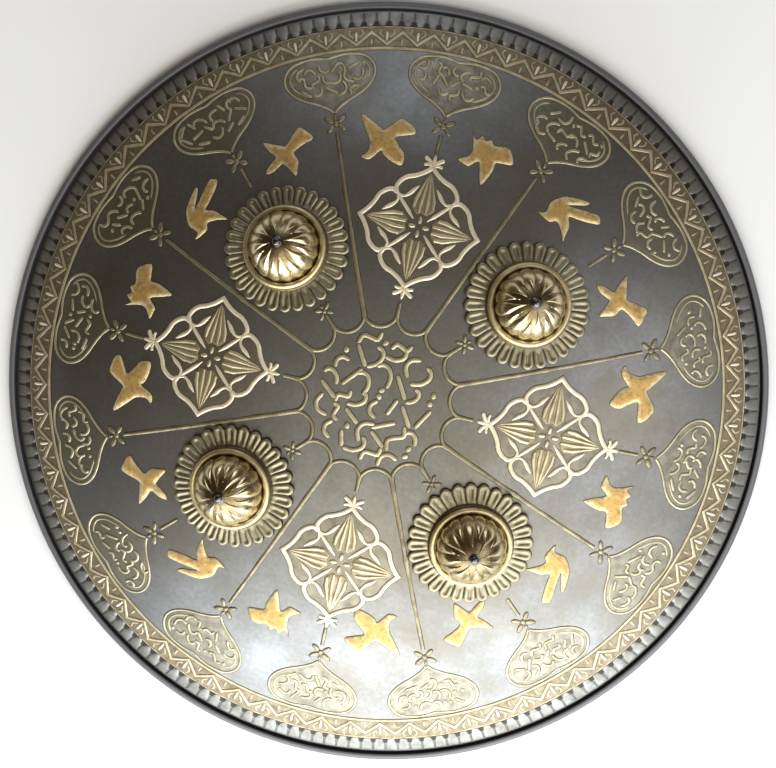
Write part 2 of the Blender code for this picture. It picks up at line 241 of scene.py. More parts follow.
# %% [markdown]
# ## Blackened steel
#
# The face was blackened and waxed, so it is dark and half glossy, with cloudy patches where the
# finish has worn and faint rings from polishing round the dome. The clouds change both the colour
# and the roughness, because a worn patch is brighter and smoother.

# %% The steel of the shell
crevice_shade_edges = (185.2 * mm, 185.8 * mm)
bead_edges = (186.7 * mm, 187.4 * mm)


def ringed_place(board):
    """Distance from the middle and height only, so that noise runs in rings."""
    spread = board.add("ShaderNodeVectorMath", {"operation": "MULTIPLY"}, board.place, (1, 1, 0)).out(0)
    radius = board.add("ShaderNodeVectorMath", {"operation": "LENGTH"}, spread).out("Value")
    return radius, board.add("ShaderNodeCombineXYZ", {}, radius, radius * 0.3, 0.0).out(0)


def blackened_steel():
    board = Board("blackened_steel", 1.0, 0.38)
    radius, rings = ringed_place(board)
    inside = board.attribute("inside")
    clouds = board.noise(34 * mm, 5.0, 0.6)
    grain = board.noise(2.2 * mm, 4.0, 0.65)
    polish = board.noise(0.5 * mm, 2.0, 0.6, rings)
    hammered = board.noise(13 * mm, 1.0, 0.3)
    worn = (clouds * 0.6 + grain * 0.4).within(0.36, 0.68)
    base = board.mix(worn, (0.200, 0.200, 0.190), (0.275, 0.282, 0.290))
    brown = board.noise(60 * mm, 3.0).within(0.45, 0.75) * 0.6
    base = board.mix(brown, base, (0.190, 0.155, 0.105))
    base = board.mix(inside * 0.7, base, (0.085, 0.070, 0.055))
    bead = radius.within(*bead_edges)
    base = board.mix(bead, base, (0.130, 0.133, 0.145))
    # Painted shade: a thin dark line in the crevice where the dome meets the rolled bead.
    crevice_shade = radius.within(*crevice_shade_edges) * (1 - bead)
    base = board.mix(crevice_shade, base, (0.026, 0.028, 0.036))
    board.feed("Metallic", 1 - bead * 0.75)
    board.feed("Base Color", base)
    board.feed("Roughness", 0.43 - worn * 0.06 + polish * 0.05 + grain * 0.05 + inside * 0.12)
    board.bump(polish * 0.4 + grain * 0.8 + clouds * 1.2 + inside * hammered * 6, 0.12 * mm, 0.35)
    return board.material


steel_finish = blackened_steel()

# %% [markdown]
# ## The shell
#
# A bowl is round, so its wall is drawn once, in section, and spun about the middle. The section
# runs from the crown down the outer face, round the rolled rim and back up the inner face.

# %% Spin the shell
round_steps = 240
outer_steps = 92
bead_steps = 24
inner_steps = 60


def inner_height(radius):
    return dome_height(radius) - shell_wall * math.hypot(1, dome_slope(radius))


def shell_section():
    outer = [edge_radius * step / outer_steps for step in range(outer_steps + 1)]
    inner = [edge_radius * step / inner_steps for step in range(inner_steps - 1, -1, -1)]
    middle = shield_radius - rim_bead_radius
    bead = []
    for step in range(1, bead_steps):
        angle = math.radians(157.5 - 315 * step / bead_steps)
        bead.append((middle + rim_bead_radius * math.cos(angle), rim_bead_radius * (1 + math.sin(angle))))
    return ([(radius, dome_height(radius)) for radius in outer] + bead
            + [(radius, inner_height(radius)) for radius in inner])


def spun(name, section, steps):
    """Draw a section in the plane of X and Z, and spin it about Z."""
    mesh = bpy.data.meshes.new(name)
    sides = [(point, point + 1) for point in range(len(section) - 1)]
    mesh.from_pydata([(radius, 0, height) for radius, height in section], sides, [])
    piece = placed(name, mesh)
    take(piece)
    bpy.ops.object.mode_set(mode="EDIT")
    bpy.ops.mesh.select_all(action="SELECT")
    bpy.ops.mesh.spin(steps=steps, angle=2 * math.pi, center=(0, 0, 0), axis=(0, 0, 1))
    bpy.ops.mesh.select_all(action="SELECT")
    bpy.ops.mesh.remove_doubles(threshold=0.01 * mm)
    bpy.ops.mesh.normals_make_consistent(inside=False)
    bpy.ops.object.mode_set(mode="OBJECT")
    return piece


shell = spun("steel_shell", shell_section(), round_steps)
inside = []
for vertex in shell.data.vertices:
    face_height = dome_height(min(math.hypot(vertex.co.x, vertex.co.y), edge_radius))
    inside.append(float(face_height - vertex.co.z > shell_wall / 2))
store(shell, "inside", inside)
settle(shell, steel_finish, ["shell"], 60)

# %% [markdown]
# ## Gilded and silvered relief
#
# The ornament is chased: the ground beside each line is punched down, and the line is left
# standing and gilded. So every line is a low rounded ridge, with shade painted dark at its foot on
# each side. A value called rise is stored on the mesh, 0 at the foot and 1 on the crown, and the
# finishes use it to paint that shade at the foot.

# %% Finishes with painted shade at the foot


def relief_metal(name, clean, tarnished, roughness, patch=6 * mm, foot_shade=(0.030, 0.025, 0.017), metallic=0.9):
    board = Board(name, metallic, roughness)
    rise = board.attribute("rise")
    patches = board.noise(patch, 4.0, 0.6)
    grain = board.noise(0.7 * mm, 3.0, 0.6)
    tarnish = (patches * 0.75 + grain * 0.25).within(0.35, 0.7)
    metal = board.mix(tarnish, clean, tarnished)
    # Painted shade: towards the foot of each ridge the colour darkens to the shade colour given.
    board.feed("Base Color", board.mix((rise + grain * 0.3).within(0.25, 0.75), foot_shade, metal))
    board.feed("Roughness", roughness + tarnish * 0.14 - rise * 0.05 + grain * 0.08)
    board.bump(grain, 0.1 * mm, 0.5)
    return board.material


gilded_line = relief_metal("gilded_line", (0.38, 0.34, 0.225), (0.23, 0.195, 0.125), 0.5)
silvered_line = relief_metal("silvered_line", (0.88, 0.80, 0.63), (0.71, 0.62, 0.45), 0.46, metallic=0.55)
stroke_gilding = relief_metal("stroke_gilding", (0.58, 0.53, 0.37), (0.39, 0.345, 0.225), 0.48)

# %% [markdown]
# ## Lines on the dome
#
# A line is drawn flat in the plan, as on a drawing board, and each of its points is lifted by the
# dome's height at that place. Its cross-section is a row of nine points, joined to the next one.
# A curve with a bevel would be quicker, but it gets thin at sharp corners, and these lines have
# many.

# %% Points, turns and skins


def in_mm(*measures):
    return [measure * mm for measure in measures]


def turned_by(degrees):
    """A turn of the plan, counter-clockwise."""
    return Matrix.Rotation(math.radians(degrees), 2)


def turned_points(points, degrees):
    turned = turned_by(degrees)
    return [turned @ point for point in points]


def new_shape(*values):
    """A bmesh whose points store how far they are risen, which sets the painted shade at the foot, and any
    other value named.
    """
    shape = bmesh.new()
    for name in ("rise", *values):
        shape.verts.layers.float.new(name)
    return shape


def new_point(shape, place, rise):
    vertex = shape.verts.new(place)
    vertex[shape.verts.layers.float["rise"]] = rise
    return vertex


def raised_point(shape, x, y, lift, rise):
    """A point of the plan, lifted over the dome."""
    return new_point(shape, (x, y, dome_height(math.hypot(x, y)) + lift), rise)


def bridge(shape, rows, flipped=False):
    """Join each row of points to the next one, all the way round. flipped turns the faces over."""
    for near, far in zip(rows, rows[1:]):
        for step in range(len(near)):
            following = (step + 1) % len(near)
            corners = [near[step], far[step], far[following], near[following]]
            if flipped:
                corners = corners[:1] + corners[:0:-1]
            if len(set(corners)) == 4:
                shape.faces.new(corners)


def close_ends(shape, rows):
    shape.faces.new(rows[0])
    shape.faces.new(list(reversed(rows[-1])))


# %% Draw a ridge along a line
sink = 0.25 * mm
skirt = 0.32 * mm
full_line = 1.4 * mm
ridge_section = ((-1, -1, None, 0), (-1, -0.55, 0.10, 0), (-0.92, 0, 0.42, 0.35),
                 (-0.55, 0, 0.86, 1), (0, 0, 1, 1), (0.55, 0, 0.86, 1),
                 (0.92, 0, 0.42, 0.35), (1, 0.55, 0.10, 0), (1, 1, None, 0))


def across_corner(coming, going):
    """The direction across a line at a corner, and how square it is to the next side."""
    across = Vector((-coming.y - going.y, coming.x + going.x)).normalized()
    return across, across.dot(Vector((-going.y, going.x)))


def ridge(shape, points, widths, heights, closed=False):
    """A rounded ridge along points of the plan. A width and a height may be given for each point."""
    count = len(points)
    rows = []
    for index, here in enumerate(points):
        before = points[index - 1] if closed or index else None
        after = points[(index + 1) % count] if closed or index < count - 1 else None
        coming = (here - before).normalized() if before else (after - here).normalized()
        going = (after - here).normalized() if after else coming
        across, square = across_corner(coming, going)
        mitre = min(1 / max(square, 0.2), 2.4)
        width = widths[index] if isinstance(widths, list) else widths
        height = heights[index] if isinstance(heights, list) else heights
        low = min(width / full_line, 1)
        row = []
        for share, edge, lift, rise in ridge_section:
            spot = here + across * (share * width / 2 + edge * skirt * low) * mitre
            lift = -sink if lift is None else lift * height * low
            row.append(raised_point(shape, spot.x, spot.y, lift, rise))
        rows.append(row)
    if closed:
        bridge(shape, rows + rows[:1])
    else:
        bridge(shape, rows)
        close_ends(shape, rows)


# %% Smooth lines and strokes
round_end = 0.15


def smooth(points, closed=False, steps=4):
    """More points, on a smooth curve through the given ones."""
    points = [Vector(point) for point in points]
    count = len(points)
    made = []
    for index in range(count if closed else count - 1):
        near, far = points[index], points[(index + 1) % count]
        before = points[index - 1] if closed or index else near * 2 - far
        after = points[(index + 2) % count] if closed or index < count - 2 else far * 2 - near
        for step in range(steps):
            t = step / steps
            made.append((near * 2 + (far - before) * t + (before * 2 - near * 5 + far * 4 - after) * t ** 2
                         + (near * 3 - before - far * 3 + after) * t ** 3) / 2)
    if not closed:
        made.append(points[-1])
    return made


def stroke(shape, points, width, height, end=round_end, steps=4):
    """A ridge with rounded ends. Its last end is pointed where end is 0."""
    points = smooth(points, steps=steps)
    runs = [0]
    for near, far in zip(points, points[1:]):
        runs.append(runs[-1] + (far - near).length)
    total = runs[-1]
    reach = [width * (0.5 if share else 1.8) for share in (round_end, end)]

    def width_at(run):
        shares = []
        for distance, share, length in ((run, round_end, reach[0]), (total - run, end, reach[1])):
            part = min(distance / length, 1)
            shares.append(max(share, math.sqrt(part * (2 - part)), 0.06))
        return width * min(shares)

    marks = sorted(set(runs + [share * reach[0] for share in (0.25, 1)]
                       + [total - share * reach[1] for share in (0.25, 1)]))
    marks = [mark for index, mark in enumerate(marks) if index == 0 or mark - marks[index - 1] > 0.02 * mm]
    marks = [mark for mark in marks if 0 <= mark <= total]
    spots = []
    for mark in marks:
        place = min(max(index for index, run in enumerate(runs) if run <= mark + 1e-9), len(points) - 2)
        share = (mark - runs[place]) / (runs[place + 1] - runs[place])
        spots.append(points[place].lerp(points[place + 1], share))
    ridge(shape, spots, [width_at(mark) for mark in marks], height)


def at_spoke(points, degrees, radius=0):
    """Move points given in millimetres, as (outward, to the left), to a spoke's angle."""
    turned = turned_by(degrees)
    return [turned @ (Vector(point) * mm + Vector((radius, 0))) for point in points]


# %% [markdown]
# ## The border
#
# A gilded ring closes the field. Outside it a brown band carries gilded chevrons with a silver
# tick between each two, then comes a thin ring, and then a row of small steel tongues with black
# pits between them, next to the rolled rim.

# %% Gilded rings
border_radius = 166.7 * mm
thin_ring_radius = 177.4 * mm
ring_steps = 360


def ring_points(radius):
    turns = [2 * math.pi * step / ring_steps for step in range(ring_steps)]
    return [Vector((radius * math.cos(turn), radius * math.sin(turn))) for turn in turns]


rings = new_shape()
ridge(rings, ring_points(border_radius), 1.5 * mm, 0.5 * mm, closed=True)
ridge(rings, ring_points(thin_ring_radius), 0.5 * mm, 0.35 * mm, closed=True)
border_gilding = relief_metal("border_gilding", (0.64, 0.56, 0.39), (0.44, 0.37, 0.24), 0.5)
settle(new_piece("border_rings", rings), border_gilding)

# %% Chevrons and ticks
chevron_count = 72
chevron_widths = in_mm(1.7, 1.65, 1.6, 1.4, 1.6, 1.65) * chevron_count
chevrons = new_shape()
ticks = new_shape()
zigzag = []
for index in range(chevron_count):
    degrees = 360 * index / chevron_count
    between = degrees + 180 / chevron_count
    zigzag += at_spoke([(174.7, 0), (172.6, 2.5), (170.6, 4.9)], degrees) + at_spoke([(168.6, 0)], between)
    zigzag += at_spoke([(170.6, -4.9), (172.6, -2.5)], degrees + 360 / chevron_count)
    stroke(chevrons, at_spoke([(168.2, 0), (171.4, 0)], degrees), 1.2 * mm, 0.35 * mm, end=0, steps=1)
    ridge(ticks, at_spoke([(170.3, 0), (171.4, 0), (173.6, 0), (175.0, 0)], between),
          in_mm(0.6, 1.3, 1.7, 1.1), 0.6 * mm)
    for side in (-1, 1):
        stroke(chevrons, at_spoke([(176.3, side * 2.6), (174.4, side * 3.6), (172.2, side * 1.6)], between),
               0.8 * mm, 0.35 * mm, steps=2)
ridge(chevrons, zigzag, chevron_widths, 0.48 * mm, closed=True)
settle(new_piece("border_chevrons", chevrons), border_gilding)
settle(new_piece("border_ticks", ticks), silvered_line)

# %% [markdown]
# The brown ground of the chevron band and the black ground under the tongues are only a shade
# higher than the steel. Each is a thin washer-like band, spun like the shell.

# %% Grounds of the border
ground_height = 0.06 * mm
band_brown = relief_metal("band_brown", (0.285, 0.240, 0.165), (0.185, 0.150, 0.098), 0.48, 3 * mm,
                          (0.10, 0.08, 0.05))
band_black = relief_metal("band_black", (0.045, 0.042, 0.036), (0.075, 0.07, 0.06), 0.5, 3 * mm)


def ground_band(name, inner, outer):
    steps = 6
    top = [inner + (outer - inner) * step / steps for step in range(steps + 1)]
    section = [(radius, dome_height(radius) + ground_height) for radius in top]
    section += [(radius, dome_height(radius) - sink) for radius in reversed(top)]
    piece = spun(name, section + section[:1], round_steps)
    store(piece, "rise", [1.0] * len(piece.data.vertices))
    return piece


settle(ground_band("chevron_ground", 167.4 * mm, 177.1 * mm), band_brown)
settle(ground_band("tongue_ground", 177.5 * mm, 180.3 * mm), band_black)

# %% Steel tongues
tongue_count = 183
# The last colour is the painted shade at the foot of each tongue.
tongue_steel = relief_metal("tongue_steel", (0.31, 0.31, 0.29), (0.22, 0.21, 0.19), 0.44, 6 * mm,
                            (0.09, 0.088, 0.08))
tongue_line = [(out, 0) for out in (177.8, 178.2, 179.0, 179.8, 180.5, 184.6)]
tongues = new_shape()
for index in range(tongue_count):
    degrees = 360 * (index + 0.5) / tongue_count
    ridge(tongues, at_spoke(tongue_line, degrees), in_mm(2.6, 3.5, 3.9, 4.2, 5.5, 5.9),
          in_mm(0.4, 0.5, 0.5, 0.42, 0.32, 0.12))
settle(new_piece("border_tongues", tongues), tongue_steel)

# %% [markdown]
# ## Arches and spokes in the middle
#
# Sixteen small arches stand round the middle. From each cusp between them a spoke grows outward:
# every second one is long and runs to a cartouche, and the others end in a trefoil beside a boss
# or a medallion and begin again outside it.

# %% Arches and spokes
spoke_count = 16
spoke_angle = 360 / spoke_count
arch_radius = 8.66 * mm
arch_middle = 42.66 * mm
line_height = 0.5 * mm
arches = new_shape()
half = math.radians(spoke_angle / 2)
cusp_reach = math.sqrt(arch_radius ** 2 - (arch_middle * math.sin(half)) ** 2)
cusp_radius = arch_middle * math.cos(half) - cusp_reach
sweep = math.atan2(cusp_radius * math.sin(half), arch_middle - cusp_radius * math.cos(half))
arch = [Vector((arch_middle, 0)) + Vector((-math.cos(turn), math.sin(turn))) * arch_radius
        for turn in (sweep * (step / 8 - 1) for step in range(17))]


def spoke(distances, widths, degrees):
    """A straight line outward, with its distances and widths in millimetres."""
    ridge(arches, at_spoke([(distance, 0) for distance in distances], degrees), in_mm(*widths), line_height)


for index in range(spoke_count):
    degrees = index * spoke_angle
    ridge(arches, turned_points(arch, degrees + spoke_angle / 2), 1.7 * mm, line_height)
    start = cusp_radius / mm - 0.4
    if index % 2:
        spoke((start, start + 2, 60, 78, 79, 81, 82, 100, 118, 127.5),
              (2.7, 2.3, 2.1, 2.0, 2.6, 2.6, 2.0, 1.9, 1.8, 1.6), degrees)
    else:
        spoke((start, start + 2, 46.2), (2.4, 1.9, 1.6), degrees)
        spoke((118 if index % 4 == 0 else 117, 122, 127.5), (1.5, 1.6, 1.5), degrees)
settle(new_piece("arches_and_spokes", arches), gilded_line)

# %% [markdown]
# ## Trefoils
#
# Where a spoke meets a cartouche, a boss or a medallion it ends in small leaves. Each leaf is a
# low oval bead: rings of points that shrink towards the top.

# %% Beads and trefoils
leaf_height = 0.62 * mm
trefoil_leaves = ((2.0, 3.0, 5.2, 2.5, 56), (2.0, -3.0, 5.2, 2.5, -56), (-2.1, 2.7, 4.8, 2.3, -50),
                  (-2.1, -2.7, 4.8, 2.3, 50), (3.1, 0, 2.6, 1.6, 0), (0, 0, 2.8, 2.6, 0))


def bead(shape, place, long, wide, height, degrees=0.0, sides=12):
    """A low oval bead at a place of the plan."""
    turned = turned_by(degrees)
    rows = []
    for share, lift, rise in ((1.14, -sink, 0), (1.05, 0.08 * height, 0), (0.9, 0.5 * height, 0.5),
                              (0.55, 0.88 * height, 1)):
        row = []
        for step in range(sides):
            angle = 2 * math.pi * step / sides
            oval = Vector((math.cos(angle) * long * share / 2, math.sin(angle) * wide * share / 2))
            spot = place + turned @ oval
            row.append(raised_point(shape, spot.x, spot.y, lift, rise))
        rows.append(row)
    bridge(shape, rows, flipped=True)
    shape.faces.new(list(reversed(rows[0])))
    top = raised_point(shape, place.x, place.y, height, 1)
    for step in range(sides):
        shape.faces.new((rows[-1][step], rows[-1][(step + 1) % sides], top))


def trefoil(shape, radius, degrees, size=1.0):
    """Four leaves in a cross that leans from the spoke, one leaf on top and a bead in the middle."""
    for out, left, long, wide, lean in trefoil_leaves:
        place = at_spoke([(radius + out * size, left * size)], degrees)[0]
        bead(shape, place, long * size * mm, wide * size * mm, leaf_height, degrees + lean)


trefoils = new_shape()
for index in range(spoke_count):
    trefoil(trefoils, 131.6, index * spoke_angle)
    if index % 4 == 2:
        trefoil(trefoils, 48.3, index * spoke_angle, 0.8)
settle(new_piece("trefoils", trefoils), gilded_line)

# %% [markdown]
# ## Cartouches
#
# Sixteen pointed cartouches stand inside the border. Each has a thin outer line and a second line
# inside its sides, and rows of shallow strokes fill its field.

# %% Cartouche outlines
cartouche_side = [(136.8, 0.3), (139.4, 3.2), (142.2, 8.0), (144.6, 13.4), (147.6, 18.2), (151.6, 21.4),
                  (156.0, 22.2), (160.2, 20.4), (163.2, 16.6), (164.6, 10.0), (164.4, 5.0), (163.6, 0)]


def inset(points, distance):
    """Move a closed outline inward along its mitres."""
    made = []
    for index, here in enumerate(points):
        coming = (here - points[index - 1]).normalized()
        going = (points[(index + 1) % len(points)] - here).normalized()
        across, square = across_corner(coming, going)
        made.append(here + across * distance / max(square, 0.45))
    return made


right_side = smooth([(x * mm, -y * mm) for x, y in cartouche_side], steps=3)
left_side = [Vector((point.x, -point.y)) for point in reversed(right_side[:-1])]
cartouche_outline = right_side + left_side
inner_line = inset(cartouche_outline, 2.6 * mm)
cartouches = new_shape()
for index in range(spoke_count):
    degrees = index * spoke_angle
    ridge(cartouches, turned_points(cartouche_outline, degrees), 1.25 * mm, line_height)
    for arc in (inner_line[8:25], inner_line[-25:-8]):
        widths = in_mm(0.3, *[0.9] * (len(arc) - 2), 0.3)
        ridge(cartouches, turned_points(arc, degrees), widths, 0.4 * mm)
settle(new_piece("cartouche_outlines", cartouches), stroke_gilding)

# %% [markdown]
# The strokes are simple bars, bows and dots, set in rows. A seeded random choice varies them, so
# that no two rows are alike.

# %% Rows of strokes
stroke_forms = {"bar": [(-0.5, 0), (0.5, 0)], "bow": [(-0.5, -0.2), (-0.2, 0.16), (0.2, 0.16), (0.5, -0.2)],
                "hook": [(-0.5, 0.1), (-0.1, -0.08), (0.3, -0.02), (0.45, 0.22), (0.38, 0.45)],
                "wave": [(-0.55, -0.1), (-0.25, 0.16), (0.05, 0), (0.3, -0.16), (0.55, 0.1)]}


def sides_of(outline):
    """Every two neighbours on a closed outline, or in a closed ring of rows."""
    return list(zip(outline, outline[1:] + outline[:1]))


def inside_outline(point, outline):
    """Whether a point lies inside a closed outline."""
    crossings = 0
    for near, far in sides_of(outline):
        if (near.y > point.y) != (far.y > point.y):
            if point.x < near.x + (point.y - near.y) / (far.y - near.y) * (far.x - near.x):
                crossings += 1
    return crossings % 2 == 1


def stroke_row(shape, spot_at, along, half_length, fits, sizes, width, gap):
    """One row of strokes. along is its direction, and fits says whether a stroke's reach stays inside."""
    left = -half_length + chooser.uniform(0, gap)
    while left < half_length:
        kind = chooser.choice(["bar", "bow", "hook", "bow", "wave", "hook", "bar", "dot"])
        size = width * 1.4 if kind == "dot" else chooser.uniform(*sizes)
        lean = chooser.choice((-1, 1)) * chooser.uniform(12, 68)
        room = size * max(math.cos(math.radians(lean)), 0.42)
        reach = turned_by(lean) @ Vector((size / 2, 0))
        if not all(fits(Vector((left + room / 2, 0)) + reach * side) for side in (-1, 1)):
            left += gap / 2
            continue
        place = spot_at(left + room / 2)
        if kind == "dot":
            bead(shape, place, width * 1.5, width * 1.25, line_height, along + lean, 8)
        else:
            turned = turned_by(along + lean)
            points = [place + turned @ (Vector(point) * size) for point in stroke_forms[kind]]
            stroke(shape, points, width, line_height, steps=3)
        left += room + gap


chooser = random.Random(11)
cartouche_strokes = new_shape()
stroke_room = inset(cartouche_outline, 2.9 * mm)[4:-4]
for index in range(spoke_count):
    turned = turned_by(index * spoke_angle)
    for outward in in_mm(142.9, 147.9, 153.2, 158.6):
        stroke_row(cartouche_strokes, lambda run: turned @ Vector((outward, run)), index * spoke_angle + 90,
                   18 * mm, lambda spot: inside_outline(Vector((outward - spot.y, spot.x)), stroke_room),
                   (4.6 * mm, 7.4 * mm), 1.5 * mm, 1.2 * mm)
settle(new_piece("cartouche_strokes", cartouche_strokes), stroke_gilding)

# %% Strokes in the middle
centre_strokes = new_shape()
row_direction = 78
row_pitch = 7.8 * mm
middle_room = 31 * mm
across_rows = turned_by(row_direction)
for row in range(-3, 4):
    offset = row * row_pitch
    stroke_row(centre_strokes, lambda run: across_rows @ Vector((run, offset)), row_direction, 30 * mm,
               lambda spot: (spot + Vector((0, offset))).length < middle_room,
               (7.5 * mm, 13 * mm), 2.3 * mm, 1.5 * mm)
settle(new_piece("centre_strokes", centre_strokes), stroke_gilding)

# %% [markdown]
# ## Birds
#
# A bird fills each space between two spokes, in four poses that repeat round the shield. Each is
# a low plate with sloping edges. Its gilding is orange in the middle of the body, with a highlight
# painted as a paler rim along the edges, so the mesh also stores how far inside its edge each point
# lies.

# %% A plate with sloping edges
crown_reach = 2 * mm


def unit(value):
    """A value held between 0 and 1."""
    return min(max(value, 0), 1)


def side_distance(point, near, far):
    along = far - near
    share = unit((point - near).dot(along) / along.length_squared)
    return (point - near - along * share).length


def edge_distance(point, outline):
    return min(side_distance(point, near, far) for near, far in sides_of(outline))


def plate(shape, outline, height, spacing, shoulder, crown=0.0):
    """Fill an outline of the plan, raised over the dome. Its edges slope and its middle swells."""
    inward = shape.verts.layers.float["inward"]
    top_line = inset(outline, shoulder)
    foot_rows = ((inset(outline, -skirt), -sink, 0), (inset(outline, -skirt * 0.5), 0.05 * mm, 0),
                 (outline, height * 0.55, 0.3))
    rows = [[raised_point(shape, point.x, point.y, lift, rise) for point in points]
            for points, lift, rise in foot_rows]
    low = Vector((min(point.x for point in outline), min(point.y for point in outline)))
    high = Vector((max(point.x for point in outline), max(point.y for point in outline)))
    extra = []
    for column in range(int((high.x - low.x) / spacing) + 1):
        for row in range(int((high.y - low.y) / spacing) + 1):
            spot = low + Vector((column + 0.5 * (row % 2), row)) * spacing
            if edge_distance(spot, top_line) > spacing * 0.6 and inside_outline(spot, top_line):
                extra.append(spot)
    filled = delaunay_2d_cdt(top_line + extra, [], [list(range(len(top_line)))], 1, 1e-7)
    spots, triangles = filled[0], filled[2]
    top = []
    for spot in spots:
        swell = min(edge_distance(spot, top_line) / crown_reach, 1)
        lift = height + crown * math.sin(swell * math.pi / 2)
        vertex = raised_point(shape, spot.x, spot.y, lift, 0.75 + swell / 4)
        vertex[inward] = swell
        top.append(vertex)
    for triangle in triangles:
        shape.faces.new([top[spot] for spot in triangle])
    rows.append([top[min(range(len(spots)), key=lambda k: (spots[k] - point).length)] for point in top_line])
    bridge(shape, rows, flipped=True)
    shape.faces.new(list(reversed(rows[0])))


# %% The birds
bird_outlines = (
    [(-11.5, -10.9), (-6.6, -10.3), (-2.3, -8.2), (-0.7, -6.5), (2.1, -10.3), (4.2, -12), (7.5, -11.4),
     (5.1, -8.7), (5.3, -3.8), (7.5, -0.5), (12.4, 7.3), (7.5, 6.0), (2.1, 3.3), (-0.1, 3.0), (-5.5, 9.2),
     (-9.3, 8.7), (-12.7, 7.1), (-13.8, 4.3), (-8.8, 2.2), (-5.5, 0.5), (-8.8, -3.3), (-11.5, -6.0)],
    [(-1.2, -10.3), (1.5, -6.2), (3.6, -3.7), (6.3, -5.1), (9.0, -6.5), (12, -6.5), (10.4, -3.7),
     (7.7, -1.6), (6.3, 0.05), (8.5, 3.0), (10.9, 7.7), (6.3, 6.0), (3.0, 4.7), (0.3, 4.4), (-6.2, 10.9),
     (-9.5, 9.0), (-12.4, 4.9), (-7.3, 3.0), (-2.4, 0.3), (-3.75, -3.5), (-2.7, -7.3)],
    [(-7.0, -8.4), (-3.3, -6.2), (1.6, -4.6), (3.5, -7.0), (6.5, -7.8), (10.6, -7.9), (8.2, -5.6),
     (10, -1.0), (8.7, 3.6), (6.5, 6.8), (-1.1, 12.0), (-1.9, 10.6), (1.9, 6.3), (3.3, 4.1), (-8.2, 11.2),
     (-10.9, 10.7), (-12, 9.0), (-8.2, 5.8), (-3.3, 2.8), (-0.5, 0.9), (-3.8, -1.8), (-5.4, -5.1)],
    [(-2.5, -11.4), (0, -7.3), (2.7, -2.1), (5.7, -5.7), (7.8, -5.9), (11.6, -5.1), (8.4, -2.4), (7.3, 0.3),
     (8.6, 4.7), (10.3, 8.5), (7.8, 6.3), (5.7, 9.0), (3.5, 7.4), (1.3, 9.0), (-0.9, 7.1), (-5.2, 8.5),
     (-8.5, 8.2), (-12, 3.0), (-7.9, 1.4), (-4.7, 0.3), (-4.9, -2.9), (-4.1, -7.3)],
)
bird_radius = 122.4 * mm
bird_scale = 1.05
bird_places = ((6.6, 2.8, -22), (0.5, 0, 0), (1.3, 0.7, -2), (0.5, 1.0, 0),
               (2.6, 1.5, -12), (0.4, 0.8, -8), (1.4, -1.0, -10), (1.2, 0.6, 4),
               (0.4, 0.6, 0), (-1.2, -0.6, -4), (-1.2, -1.4, -5), (-3.2, -2.8, 2),
               (1.8, -4.2, -10), (-0.4, -4.2, 0), (1.0, -3.8, -2), (-1.6, -0.6, 6))


def bird_gilding():
    board = Board("bird_gilding", 0.65, 0.55)
    rise = board.attribute("rise")
    inward = board.attribute("inward")
    patches = board.noise(5 * mm, 4.0, 0.6)
    spots = board.noise(2.2 * mm, 3.0, 0.6)
    grain = board.noise(0.8 * mm, 3.0, 0.6)
    # The paler rim along the edges is a painted highlight, broken by patches of random tone.
    core = (inward * 0.7 + patches * 0.9).within(0.55, 1.05)
    metal = board.mix(core, (0.71, 0.60, 0.35), (0.58, 0.385, 0.14))
    metal = board.mix((spots * 0.7 + grain * 0.3).within(0.46, 0.66) * 0.7, metal, (0.35, 0.21, 0.07))
    # Painted shade: the foot of the plate darkens almost to black.
    board.feed("Base Color", board.mix((rise + grain * 0.2).within(0.2, 0.6), (0.020, 0.016, 0.010), metal))
    board.feed("Roughness", 0.55 + patches * 0.12 - grain * 0.06)
    board.bump(grain * 0.5 + spots * 1.5 + patches, 0.25 * mm, 0.7)
    return board.material


def counter_clockwise(outline):
    area = sum(near.x * far.y - far.x * near.y for near, far in sides_of(outline))
    return outline if area > 0 else list(reversed(outline))


birds = new_shape("inward")
for index, (moved_along, moved_out, lean) in enumerate(bird_places):
    leaning = turned_by(lean) * bird_scale
    outline = [leaning @ Vector((out, along)) + Vector((moved_out, moved_along))
               for along, out in bird_outlines[index % 4]]
    outline = at_spoke(outline, (index + 0.5) * spoke_angle, bird_radius)
    outline = counter_clockwise(smooth(outline, closed=True, steps=3))
    plate(birds, outline, 0.5 * mm, 1.5 * mm, 0.3 * mm, 0.35 * mm)
settle(new_piece("birds", birds), bird_gilding(), sharp=50)

# %% [markdown]
# ## Medallions
#
# Between the bosses stand four pointed quatrefoils. The frame and the spurs that cross at its
# notches are silver. Inside, four brass leaves meet at a small star.

# %% Medallion frames
half_lobe = [(28.6, 0), (25.6, 3.4), (23.3, 7.2), (21.8, 11.0), (19.2, 13.6), (16.2, 14.8), (13.7, 13.7)]
spur_line = [(13.7, 13.7), (12.6, 10.6), (14.3, 8.0), (16.4, 6.4), (18.9, 4.2)]
inner_spur = [(12.8, 12.8), (9.8, 9.8), (6.2, 6.2), (3.3, 3.3)]
frame_height = 0.6 * mm
frames = new_shape()
quarter = smooth(half_lobe, steps=3)
quarter = quarter[:-1] + [Vector((point.y, point.x)) for point in reversed(quarter[1:])]


def on_medallion(points, corner, medallion):
    """Points in millimetres round a medallion's middle, turned by quarters, on the shield."""
    points = turned_points([Vector(point) for point in points], 90 * corner)
    return at_spoke(points, 90 * medallion, boss_circle_radius)


def mirrored(points, side):
    return [(out, side * across) for out, across in points]


def medallion_outline(medallion):
    return [point for corner in range(4) for point in on_medallion(quarter, corner, medallion)]


